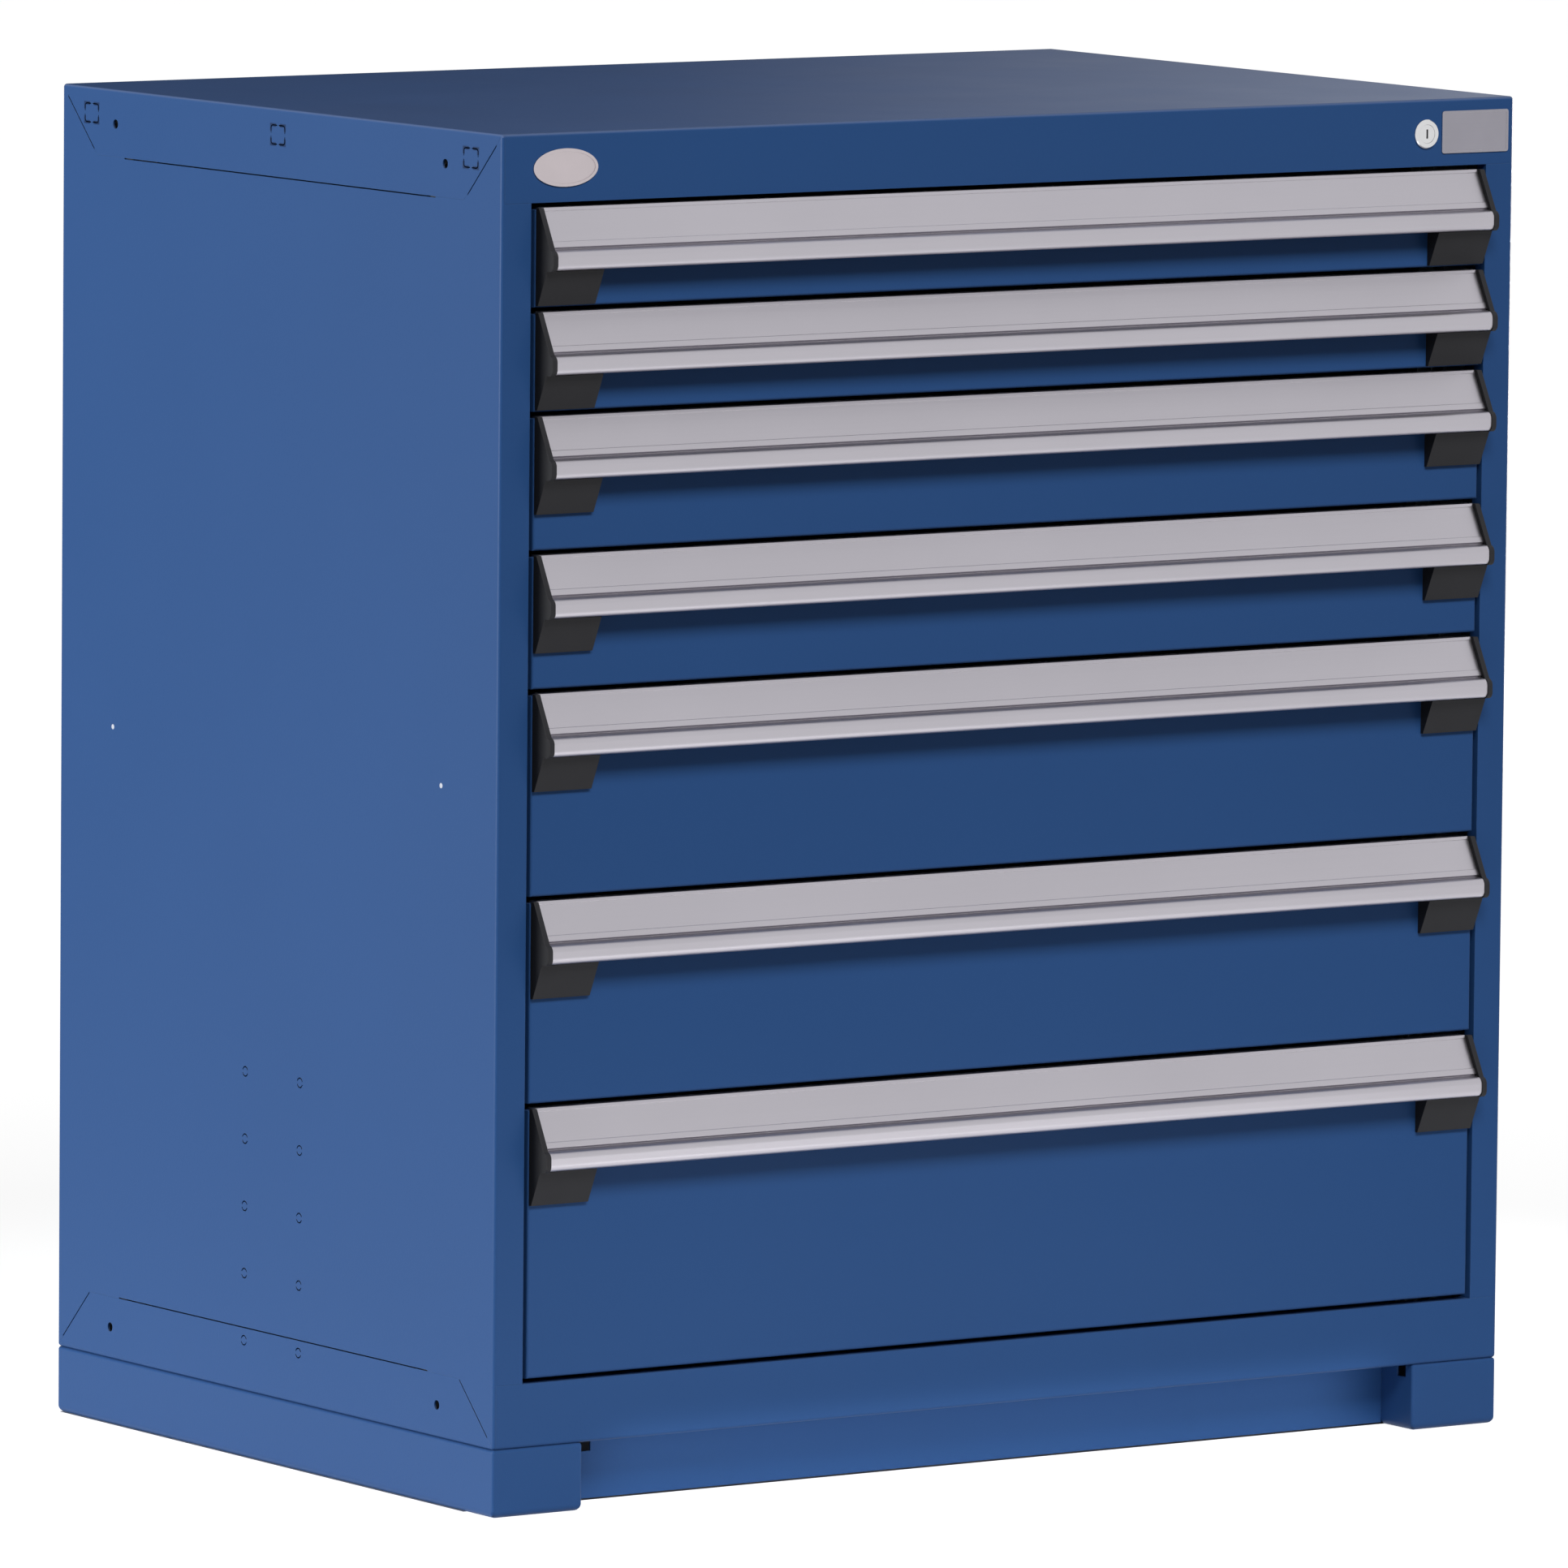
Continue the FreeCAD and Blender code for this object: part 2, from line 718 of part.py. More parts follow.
def end_cap(foot, pitch):
    """Right hand cap: a cheek over the end of the handle and a block under its grip."""
    top = front_top(foot, pitch)
    under = grip_bottom_drop + cap_grip_clearance
    bow = (1 - math.sqrt(0.5)) * grip_rounding
    bottom_reach = cap_reach - grip_rounding
    cheek = [
        [(cap_face_proud, 0)],
        [(grip_top_reach + cap_proud, grip_top_drop)],
        [(cap_reach - bow, grip_top_drop + bow), (cap_reach, grip_top_drop + grip_rounding)],
        [(cap_reach, under - grip_rounding)],
        [(cap_reach - bow, under - bow), (bottom_reach, under)],
        [(cap_block_reach, under)],
        [(cap_block_foot, cap_height)],
        [(0, cap_height)],
        [(0, 0)],
    ]
    block = [
        [(cap_block_reach, under)],
        [(cap_block_foot, cap_height)],
        [(0, cap_height)],
        [(0, under)],
    ]
    plate = Part.Face(wire_x(handle_half, top, cheek)).extrude(Vector(cap_cheek, 0, 0))
    body = Part.Face(wire_x(cap_outer - cap_block_width, top, block)).extrude(Vector(cap_block_width, 0, 0))
    return join([plate, body])


def lock_barrel():
    """Lock housing: chamfered flange on the header, threaded body behind it."""
    flange = rod_y(lock_flange_radius, -lock_flange, 0, lock_x, lock_z)
    rim = [edge for edge in flange.Edges if edge.BoundBox.YMax < -lock_flange / 2]
    flange = flange.makeChamfer(lock_flange_chamfer, rim)
    body = rod_y(lock_body_radius, 0, lock_body_length, lock_x, lock_z)
    bore = rod_y(plug_radius + plug_clearance, -lock_flange, lock_body_length, lock_x, lock_z)
    return join([flange, body]).cut(bore)


def lock_nut():
    """Nut that holds the lock against the back of the header."""
    nut = prism_y(hexagon(lock_nut_flats, lock_x, lock_z), skin, skin + lock_nut_thickness)
    return nut.cut(rod_y(lock_body_radius, skin, skin + lock_nut_thickness, lock_x, lock_z))


def lock_plug():
    """Key plug with its cam and crank pin."""
    front = plug_recess - lock_flange
    plug = rod_y(plug_radius, front, cam_front, lock_x, lock_z)
    keyway = box(
        lock_x - keyway_width / 2, lock_x + keyway_width / 2,
        front, front + keyway_depth,
        lock_z - keyway_length / 2, lock_z + keyway_length / 2,
    )
    cam = rod_y(cam_radius, cam_front, cam_front + cam_thickness, lock_x, lock_z)
    pin = rod_y(crank_pin_radius, cam_front, bar_back + cam_thickness, crank_x, crank_z)
    return join([plug.cut(keyway), cam, pin])


def lock_bar():
    """Flat bar down the right post, with a foot round the crank pin and a lug for each drawer."""
    foot_low = crank_z - bar_foot_height / 2
    foot_high = crank_z + bar_foot_height / 2
    slot_half = crank_pin_radius + crank_slot_clearance
    swing_left = lock_x - crank_radius - slot_half
    swing_right = max(crank_x, crank_locked_x) + slot_half
    feet = drawer_feet()
    strip = box(bar_inner, bar_outer, bar_front, bar_back, feet[-1] + guide_rise - bar_tail, foot_high)
    foot_plate = box(swing_left - bar_foot_edge, bar_outer, bar_front, bar_back, foot_low, foot_high)
    slot = box(swing_left, swing_right, bar_front, bar_back, crank_z - slot_half, crank_z + slot_half)
    pieces = [join([strip, foot_plate]).cut(slot)]
    for foot in feet:
        high = foot + stud_rise - stud_radius - lug_rest_gap
        pieces.append(box(lug_tip, bar_inner + lug_lap, bar_back, lug_back, high - lug_height, high))
    return pieces


def bar_guide(foot):
    """Block on the back of the post that the lock bar slides through."""
    low = foot + guide_rise
    block = box(bar_inner, inside_half, skin, bar_back + guide_wall, low, low + guide_height)
    channel = box(
        bar_inner, bar_outer + guide_clearance,
        bar_front - guide_clearance, bar_back + guide_clearance,
        low, low + guide_height,
    )
    return block.cut(channel)


def base_rail():
    """Right hand base rail: side skirt, top flange and a boxed foot at each end."""
    outside = box(foot_inner, half_width, 0, housing_depth, 0, base_height)
    outside = round_some(outside, bend_radius, lambda edge: edge.BoundBox.ZLength > base_height / 2)
    outside = round_some(outside, bend_radius, lambda edge: edge.BoundBox.ZMin > base_height - skin)
    outside = round_some(outside, foot_floor_radius, lambda edge: edge.BoundBox.ZMax < skin)
    high = base_height - skin
    hollow = box(foot_inner + skin, inside_half, skin, housing_depth - skin, skin, high)
    rear = housing_depth - cover_setback
    side_way = box(foot_inner, foot_inner + skin, cover_setback, rear, 0, high)
    floor_way = box(foot_inner, half_width - base_floor_flange, cover_setback, rear, 0, skin)
    cuts = [hollow, side_way, floor_way]
    notch_back = return_notch_front + return_notch_width
    for front in (return_notch_front, housing_depth - notch_back):
        across = (front, front + return_notch_width)
        cuts.append(box(foot_inner, foot_inner + skin, *across, high - return_notch_height, high))
    return outside.cut(cuts + base_bolts())


def base_front_cover():
    """Kick plate between the front feet, folded back at its top and at its foot."""
    back = cover_setback + cover_fold
    pieces = [
        box(-foot_inner, foot_inner, cover_setback, cover_setback + skin, cover_lift, base_height),
        box(-foot_inner, foot_inner, cover_setback, back, base_height - skin, base_height),
        box(-foot_inner, foot_inner, cover_setback, back, cover_lift, cover_lift + skin),
    ]
    notch_end = cover_notch_end - half_width
    notch_low = base_height - cover_notch_height
    return join(pieces).cut(box(-foot_inner, notch_end, cover_setback, back, notch_low, base_height))


def base_bolt(x, y):
    """Bolt up through a base flange and the bottom plate, with its nut."""
    flange = base_height - skin
    head = prism_z(hexagon(base_bolt_flats, x, y), flange - base_bolt_head, flange)
    shank = rod_z(base_bolt_radius, flange, floor_top, x, y)
    nut = prism_z(hexagon(base_bolt_flats, x, y), floor_top, floor_top + base_bolt_head)
    return join([head, shank, nut])


def base_bolts():
    across = half_width - base_bolt_inset
    return [base_bolt(x, y) for x in (-across, across) for y in post_lines()]


def ellipse_plate(half_length, half_height, y0, y1, x, z):
    middle = Vector(x, y0, z)
    curve = Part.Ellipse(middle + Vector(half_length, 0, 0), middle + Vector(0, 0, half_height), middle)
    return Part.Face(Part.Wire(curve.toShape())).extrude(Vector(0, y1 - y0, 0))


def badge_plate():
    """Blank oval plate with a raised rim at the left of the header."""
    place = (badge_inset - half_width, cabinet_height - badge_drop)
    half_length = badge_length / 2
    half_height = badge_height / 2
    front = -badge_thickness
    plate = ellipse_plate(half_length, half_height, front, 0, *place)
    field = (half_length - badge_rim, half_height - badge_rim)
    return plate.cut(ellipse_plate(*field, front, front + badge_rim_height, *place))


def label_plate():
    """Blank rating plate with a raised border at the right of the header."""
    x = half_width - label_inset
    z = cabinet_height - label_drop
    half_length = label_length / 2
    half_height = label_height / 2
    front = -label_thickness
    plate = box(x - half_length, x + half_length, front, 0, z - half_height, z + half_height)
    plate = round_some(plate, label_corner, lambda edge: edge.BoundBox.YLength > label_thickness / 2)
    half_length -= label_border
    half_height -= label_border
    back = front + label_border_height
    return plate.cut(box(x - half_length, x + half_length, front, back, z - half_height, z + half_height))


def build_housing():
    shell = folded_shell(-half_width, half_width, 0, housing_depth, base_height, cabinet_height)
    right_side = side_panel(shell)
    save("right_side_panel", right_side)
    save("left_side_panel", mirrored(right_side))
    save("top_panel", top_panel(shell))
    save("bottom_panel", bottom_panel(shell))
    save("back_panel", back_panel())
    save("back_screws", back_screws())
    uprights = [upright(y) for y in post_lines()]
    save("uprights", uprights + [mirrored(piece) for piece in uprights])
    rails = [cabinet_rail(foot) for foot in drawer_feet()]
    save("cabinet_rails", rails + [mirrored(piece) for piece in rails])
    save("badge_plate", badge_plate())
    save("label_plate", label_plate())


def build_base():
    right_rail = base_rail()
    save("base_right_rail", right_rail)
    save("base_left_rail", mirrored(right_rail))
    save("base_front_cover", base_front_cover())
    save("base_bolts", base_bolts())


def build_lock():
    save("lock_barrel", [lock_barrel(), lock_nut()])
    save("lock_plug", lock_plug())
    save("lock_bar", lock_bar())
    save("lock_bar_guides", [bar_guide(foot) for foot in drawer_feet()[::guide_every]])


def build_drawer(number, foot, pitch):
    name = "drawer_%d_" % number
    save(name + "front", drawer_front(foot, pitch))
    save(name + "tray", [join([tray(foot, pitch)] + pair(runner(foot))), lock_stud(foot)])
    save(name + "handle", handle(foot, pitch))
    save(name + "handle_caps", pair(end_cap(foot, pitch)))
    strip, *rollers = carriage(foot)
    save("carriage_%d" % number, pair(strip))
    save("carriage_%d_rollers" % number, rollers + [mirrored(piece) for piece in rollers])


os.makedirs("parts", exist_ok=True)
build_housing()
build_base()
build_lock()
for number, (foot, pitch) in enumerate(zip(drawer_feet(), front_pitches), 1):
    build_drawer(number, foot, pitch)
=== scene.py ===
import json
import math

import bpy
from mathutils import Matrix, Vector


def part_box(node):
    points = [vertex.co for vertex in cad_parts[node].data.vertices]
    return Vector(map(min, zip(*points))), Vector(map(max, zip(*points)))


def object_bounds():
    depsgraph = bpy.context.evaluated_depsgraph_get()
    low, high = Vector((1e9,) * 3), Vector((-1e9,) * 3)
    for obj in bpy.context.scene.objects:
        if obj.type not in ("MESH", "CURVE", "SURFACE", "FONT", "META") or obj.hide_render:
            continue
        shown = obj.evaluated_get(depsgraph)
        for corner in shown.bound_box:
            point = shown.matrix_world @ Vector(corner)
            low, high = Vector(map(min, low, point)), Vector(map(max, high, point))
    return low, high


# Drawer cabinet in blue enamelled sheet steel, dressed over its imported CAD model.
# Lengths are in metres, and colours are linear.

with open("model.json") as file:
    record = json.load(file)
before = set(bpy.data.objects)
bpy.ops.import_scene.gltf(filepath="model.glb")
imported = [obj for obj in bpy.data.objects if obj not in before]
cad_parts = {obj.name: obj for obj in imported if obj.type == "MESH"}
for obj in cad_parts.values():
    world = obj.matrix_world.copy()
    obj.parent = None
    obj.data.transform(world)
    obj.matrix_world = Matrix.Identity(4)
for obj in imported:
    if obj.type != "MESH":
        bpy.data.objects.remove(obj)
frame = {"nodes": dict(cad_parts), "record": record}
cadLow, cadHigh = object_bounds()
nodes = frame["nodes"]
slotOf = {part["node"]: part["material_slot"] for part in frame["record"]["subparts"]}
print("frame loaded:", len(nodes), "nodes")


# Camera, lamps and floor

camera = {
    "lens": 363.96,
    "sensor": 36,
    "reach": 200,
    "place": (-6.7312, -9.9084, 1.8301),
    "target": (-0.0063, 0.0, 0.4885),
    "roll": 0.538,  # degrees
}

studio = {
    "skyStrength": 0.03,  # on the object
    "skyShown": 1.0,  # to the camera and in reflections
    "lamps": {
        "highSoftbox": {
            "place": (-1.1, -5.6, 5.5), "aim": (0.0, 0.0, 0.2), "size": (4.4, 2.1), "power": 405,
            "mirrored": False,  # or the label faces clip to white when seen from the front
        },
        "leftSoftbox": {
            "place": (-6.0, 2.2, 0.9), "aim": (0.0, 0.0, 0.3), "size": (2.4, 1.8), "power": 360,
        },
        "rightSoftbox": {
            "place": (5.0, 3.4, 0.62), "aim": (0.0, 0.0, 0.45), "size": (2.2, 0.6), "power": 210,
        },
        "floorSoftbox": {
            "place": (-0.1, -0.85, 0.05), "aim": (0.0, -0.25, 0.02), "size": (1.7, 0.09), "power": 0.9,
        },
        "baseStrip": {
            "place": (0.0, -0.43, 0.022), "aim": (0.0, 0.0, 0.034), "size": (0.70, 0.02), "power": 0.07,
            "spread": 36,  # degrees, so that it lights only the front cover of the base
        },
    },
}

floor = {
    "size": 120.0,
    "color": (0.62, 0.62, 0.62, 1),  # round the cabinet
    "farColor": (0.10, 0.10, 0.10, 1),  # what lights the cabinet from further off
    "colorRange": (0.75, 1.4),  # metres from the middle of the cabinet
    "glow": (0.90, 1.0),  # near and far, as the camera and reflections see it
    "glowRange": (0.8, 3.0),
    "patchInset": 0.001,  # of the dark patch beneath the cabinet
    "roughness": 0.9,
}

card = {  # behind the cabinet, seen only in reflections, dark at its left and glowing pale at its right
    "middle": (1.6, 2.6, 1.6),
    "size": (7.0, 3.2),
    "color": (0.02, 0.02, 0.02, 1),
    "darkTo": 1.6,
    "paleFrom": 3.0,
    "pale": 1.15,
    "roughness": 0.9,
}


def makeCamera():
    data = bpy.data.cameras.new("photoCamera")
    data.lens = camera["lens"]
    data.sensor_width = camera["sensor"]
    data.clip_end = camera["reach"]
    obj = bpy.data.objects.new("photoCamera", data)
    bpy.context.scene.collection.objects.link(obj)
    place = Vector(camera["place"])
    turn = (Vector(camera["target"]) - place).to_track_quat("-Z", "Y").to_matrix().to_4x4()
    roll = Matrix.Rotation(math.radians(camera["roll"]), 4, "Z")
    obj.matrix_world = Matrix.Translation(place) @ turn @ roll
    bpy.context.scene.camera = obj


def makeLamp(name, lamp):
    data = bpy.data.lights.new(name, "AREA")
    data.shape = "RECTANGLE"
    data.size, data.size_y = lamp["size"]
    data.spread = math.radians(lamp.get("spread", 180))
    data.energy = lamp["power"]
    obj = bpy.data.objects.new(name, data)
    bpy.context.scene.collection.objects.link(obj)
    obj.location = lamp["place"]
    away = Vector(lamp["aim"]) - obj.location
    obj.rotation_euler = away.to_track_quat("-Z", "Y").to_euler()
    obj.visible_camera = False
    obj.visible_glossy = lamp.get("mirrored", True)


# A mask of the rays that show the background: camera, glossy and transmission
def shownRays(tree):
    path = tree.nodes.new("ShaderNodeLightPath")
    total = path.outputs["Is Camera Ray"]
    for name in ("Is Glossy Ray", "Is Transmission Ray"):
        total = mathNode(tree, "MAXIMUM", total, path.outputs[name])
    return total


def makeWorld():
    world = bpy.data.worlds.new("studioWorld")
    bpy.context.scene.world = world
    world.use_nodes = True
    tree = world.node_tree
    tree.nodes.clear()
    lit = tree.nodes.new("ShaderNodeBackground")
    lit.inputs["Strength"].default_value = studio["skyStrength"]
    shown = tree.nodes.new("ShaderNodeBackground")
    shown.inputs["Strength"].default_value = studio["skyShown"]
    for node in (lit, shown):
        node.inputs["Color"].default_value = (1, 1, 1, 1)
    mix = tree.nodes.new("ShaderNodeMixShader")
    out = tree.nodes.new("ShaderNodeOutputWorld")
    tree.links.new(shownRays(tree), mix.inputs["Fac"])
    tree.links.new(lit.outputs[0], mix.inputs[1])
    tree.links.new(shown.outputs[0], mix.inputs[2])
    tree.links.new(mix.outputs[0], out.inputs["Surface"])


def flatMesh(name, width, height):
    mesh = bpy.data.meshes.new(name)
    w, h = width / 2, height / 2
    mesh.from_pydata([(-w, -h, 0), (w, -h, 0), (w, h, 0), (-w, h, 0)], [], [(0, 1, 2, 3)])
    obj = bpy.data.objects.new(name, mesh)
    bpy.context.scene.collection.objects.link(obj)
    return obj


def startMaterial(name):
    material = bpy.data.materials.new(name)
    material.use_nodes = True
    tree = material.node_tree
    place = tree.nodes.new("ShaderNodeTexCoord").outputs["Object"]
    return material, tree, tree.nodes["Principled BSDF"], place


def mathNode(tree, operation, first, second=None, clamp=False):
    node = tree.nodes.new("ShaderNodeMath")
    node.operation = operation
    node.use_clamp = clamp
    for place, value in enumerate((first, second)):
        if isinstance(value, (int, float)):
            node.inputs[place].default_value = value
        elif value is not None:
            tree.links.new(value, node.inputs[place])
    return node.outputs[0]


def vectorNode(tree, operation, first, second=None):
    node = tree.nodes.new("ShaderNodeVectorMath")
    node.operation = operation
    tree.links.new(first, node.inputs[0])
    if second is not None:
        tree.links.new(second, node.inputs[1])
    return node


# A value that climbs from low to high while another goes from start to end
def rampNode(tree, value, start, end, low, high, smooth=False):
    node = tree.nodes.new("ShaderNodeMapRange")
    node.interpolation_type = "SMOOTHSTEP" if smooth else "LINEAR"
    for title, number in (("From Min", start), ("From Max", end), ("To Min", low), ("To Max", high)):
        node.inputs[title].default_value = number
    tree.links.new(value, node.inputs["Value"])
    return node.outputs["Result"]


def splitNode(tree, vector):
    node = tree.nodes.new("ShaderNodeSeparateXYZ")
    tree.links.new(vector, node.inputs[0])
    return node.outputs


# Which way a face looks, along X, Y and Z
def faceNode(tree):
    return splitNode(tree, tree.nodes.new("ShaderNodeNewGeometry").outputs["Normal"])


def mixColors(tree, mask, first, second):
    node = tree.nodes.new("ShaderNodeMix")
    node.data_type = "RGBA"
    tree.links.new(mask, node.inputs["Factor"])
    for socket, value in ((node.inputs[6], first), (node.inputs[7], second)):
        if isinstance(value, tuple):
            socket.default_value = value
        else:
            tree.links.new(value, socket)
    return node.outputs[2]


# White to the camera and in reflections, and dark beneath the cabinet
def makeFloor():
    sheet = flatMesh("floor", floor["size"], floor["size"])
    material, tree, shader, place = startMaterial("paleFloor")
    shader.inputs["Roughness"].default_value = floor["roughness"]
    shader.inputs["Specular IOR Level"].default_value = 0.0
    away = vectorNode(tree, "LENGTH", place).outputs["Value"]
    fade = rampNode(tree, away, *floor["colorRange"], 0, 1, smooth=True)
    color = mixColors(tree, fade, floor["color"], floor["farColor"])
    tree.links.new(color, shader.inputs["Base Color"])
    glow = rampNode(tree, away, *floor["glowRange"], *floor["glow"], smooth=True)
    leftRail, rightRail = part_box("base_left_rail"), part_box("base_right_rail")
    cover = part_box("base_front_cover")
    beneath = {"X": (leftRail[0][0], rightRail[1][0]), "Y": (cover[0][1], leftRail[1][1])}
    spot = splitNode(tree, place)
    outside = 0.0
    for axis, (low, high) in beneath.items():
        offset = mathNode(tree, "SUBTRACT", spot[axis], (low + high) / 2)
        fromMiddle = mathNode(tree, "ABSOLUTE", offset)
        beyond = mathNode(tree, "GREATER_THAN", fromMiddle, (high - low) / 2 - floor["patchInset"])
        outside = mathNode(tree, "MAXIMUM", beyond, outside)
    glow = mathNode(tree, "MULTIPLY", glow, outside)
    shader.inputs["Emission Color"].default_value = (1, 1, 1, 1)
    glow = mathNode(tree, "MULTIPLY", shownRays(tree), glow)
    tree.links.new(glow, shader.inputs["Emission Strength"])
    sheet.data.materials.append(material)


def makeCard():
    sheet = flatMesh("reflectedCard", *card["size"])
    sheet.matrix_world = Matrix.Translation(card["middle"]) @ Matrix.Rotation(math.pi / 2, 4, "X")
    material, tree, shader, place = startMaterial("gradedCard")
    shader.inputs["Base Color"].default_value = card["color"]
    shader.inputs["Roughness"].default_value = card["roughness"]
    shader.inputs["Emission Color"].default_value = (1, 1, 1, 1)
    middle = card["middle"][0]
    start, end = card["darkTo"] - middle, card["paleFrom"] - middle
    glow = rampNode(tree, splitNode(tree, place)["X"], start, end, 0, card["pale"])
    tree.links.new(glow, shader.inputs["Emission Strength"])
    sheet.data.materials.append(material)
    sheet.visible_camera = False
    sheet.visible_diffuse = False
    sheet.visible_shadow = False
    sheet.visible_transmission = False


bpy.context.scene.view_settings.view_transform = "Standard"
makeCamera()
makeWorld()
makeFloor()
makeCard()
for lampName, lampSettings in studio["lamps"].items():
    makeLamp(lampName, lampSettings)
print("camera, lamps and floor made")


# Shader groups that several finishes share

# A node group from {socket name: (type, default)}, with its in and out nodes
def newGroup(name, inputs, outputs):
    group = bpy.data.node_groups.new(name, "ShaderNodeTree")
    for title, (kind, value) in inputs.items():
        socket = group.interface.new_socket(name=title, in_out="INPUT", socket_type="NodeSocket" + kind)
        if value is not None:
            socket.default_value = value
    for title, kind in outputs.items():
        group.interface.new_socket(name=title, in_out="OUTPUT", socket_type="NodeSocket" + kind)
    return group, group.nodes.new("NodeGroupInput"), group.nodes.new("NodeGroupOutput")


def noiseNode(tree, vector, scale, detail=2.0, roughness=0.5):
    node = tree.nodes.new("ShaderNodeTexNoise")
    node.inputs["Detail"].default_value = detail
    node.inputs["Roughness"].default_value = roughness
    if isinstance(scale, (int, float)):
        node.inputs["Scale"].default_value = scale
    else:
        tree.links.new(scale, node.inputs["Scale"])
    tree.links.new(vector, node.inputs["Vector"])
    return node.outputs["Fac"]


# Low rounded ripples of a sprayed and baked coat
def makeOrangePeel():
    group, into, out = newGroup(
        "orangePeel",
        {"Vector": ("Vector", None), "Scale": ("Float", 420.0), "Fine": ("Float", 0.3)},
        {"Height": "Float"},
    )
    fineRatio = 3.1  # how much closer the fine ripples are than the broad ones
    broad = noiseNode(group, into.outputs["Vector"], into.outputs["Scale"], detail=1.0)
    fineScale = mathNode(group, "MULTIPLY", into.outputs["Scale"], fineRatio)
    fine = noiseNode(group, into.outputs["Vector"], fineScale, detail=1.0)
    fine = mathNode(group, "MULTIPLY", fine, into.outputs["Fine"])
    group.links.new(mathNode(group, "ADD", broad, fine), out.inputs["Height"])
    return group


# A colour that drifts a little lighter and darker over the surface
def makeToneDrift():
    group, into, out = newGroup(
        "toneDrift",
        {
            "Vector": ("Vector", None), "Color": ("Color", (0.5, 0.5, 0.5, 1)),
            "Scale": ("Float", 3.0), "Spread": ("Float", 0.05),
        },
        {"Color": "Color"},
    )
    broad = noiseNode(group, into.outputs["Vector"], into.outputs["Scale"], detail=3.0, roughness=0.55)
    centred = mathNode(group, "SUBTRACT", broad, 0.5)
    drift = mathNode(group, "MULTIPLY", centred, into.outputs["Spread"])
    factor = mathNode(group, "ADD", mathNode(group, "MULTIPLY", drift, 2.0), 1.0)
    scaled = vectorNode(group, "SCALE", into.outputs["Color"])
    group.links.new(factor, scaled.inputs["Scale"])
    group.links.new(scaled.outputs["Vector"], out.inputs["Color"])
    return group


# A mask for a painted highlight along the edges, from a normal that a Bevel node has rounded, broken up a
# little by noise
def makePaintedEdgeHighlight():
    group, into, out = newGroup(
        "paintedEdgeHighlight",
        {
            "Rounded": ("Vector", None), "Vector": ("Vector", None),
            "Reach": ("Float", 4.0), "Breakup": ("Float", 0.4),
        },
        {"Mask": "Float"},
    )
    geometry = group.nodes.new("ShaderNodeNewGeometry")
    dot = vectorNode(group, "DOT_PRODUCT", geometry.outputs["Normal"], into.outputs["Rounded"])
    bend = mathNode(group, "SUBTRACT", 1.0, dot.outputs["Value"], clamp=True)
    edge = mathNode(group, "MULTIPLY", bend, into.outputs["Reach"], clamp=True)
    grain = noiseNode(group, into.outputs["Vector"], scale=60.0, detail=3.0)
    loss = mathNode(group, "MULTIPLY", grain, into.outputs["Breakup"])
    keep = mathNode(group, "SUBTRACT", 1.0, loss, clamp=True)
    group.links.new(mathNode(group, "MULTIPLY", edge, keep), out.inputs["Mask"])
    return group


# A mask for a painted highlight along the upper folds of the sheet, where a face turns from upright to
# level
def makePaintedFoldHighlight():
    group, into, out = newGroup("paintedFoldHighlight", {"Reach": ("Float", 5.0)}, {"Mask": "Float"})
    upwardFrom, upwardTo = 0.02, 0.2  # how far a face looks up where the painted highlight starts and is full
    faces = faceNode(group)
    most = 0.0
    for axis in "XYZ":
        most = mathNode(group, "MAXIMUM", mathNode(group, "ABSOLUTE", faces[axis]), most)
    turned = mathNode(group, "SUBTRACT", 1.0, most, clamp=True)
    fold = mathNode(group, "MULTIPLY", turned, into.outputs["Reach"], clamp=True)
    upper = rampNode(group, faces["Z"], upwardFrom, upwardTo, 0, 1)
    group.links.new(mathNode(group, "MULTIPLY", fold, upper), out.inputs["Mask"])
    return group


# Painted shade on faces that look up: a greyer, darker film, in patches
def makeUpwardShade():
    group, into, out = newGroup(
        "upwardShade",
        {"Vector": ("Vector", None), "Amount": ("Float", 0.2)},
        {"Mask": "Float"},
    )
    steepness = 3.0  # how soon the film thins as a face turns upright
    thinnest, thickest = 0.7, 1.3
    upward = mathNode(group, "MAXIMUM", faceNode(group)["Z"], 0.0)
    up = mathNode(group, "POWER", upward, steepness)
    patch = noiseNode(group, into.outputs["Vector"], scale=5.0, detail=4.0, roughness=0.6)
    patch = rampNode(group, patch, 0, 1, thinnest, thickest)
    film = mathNode(group, "MULTIPLY", mathNode(group, "MULTIPLY", up, patch), into.outputs["Amount"])
    group.links.new(film, out.inputs["Mask"])
    return group


# Fine lines along one direction, as extruding or brushing leaves them
def makeDrawnLines():
    group, into, out = newGroup(
        "drawnLines",
        {"Vector": ("Vector", None), "Stretch": ("Vector", (3, 900, 900))},
        {"Height": "Float"},
    )
    stretched = vectorNode(group, "MULTIPLY", into.outputs["Vector"], into.outputs["Stretch"])
    lines = noiseNode(group, stretched.outputs["Vector"], scale=1.0, detail=3.0, roughness=0.6)
    group.links.new(lines, out.inputs["Height"])
    return group


# How far back and up a point of a side is from a mark that stands on both post lines
def fromMark(group, into):
    spot = splitNode(group, into.outputs["Vector"])
    offset = mathNode(group, "SUBTRACT", spot["Y"], into.outputs["Middle"])
    fromMiddle = mathNode(group, "ABSOLUTE", offset)
    across = mathNode(group, "SUBTRACT", fromMiddle, into.outputs["Across"])
    up = mathNode(group, "SUBTRACT", spot["Z"], into.outputs["Height"])
    return across, up


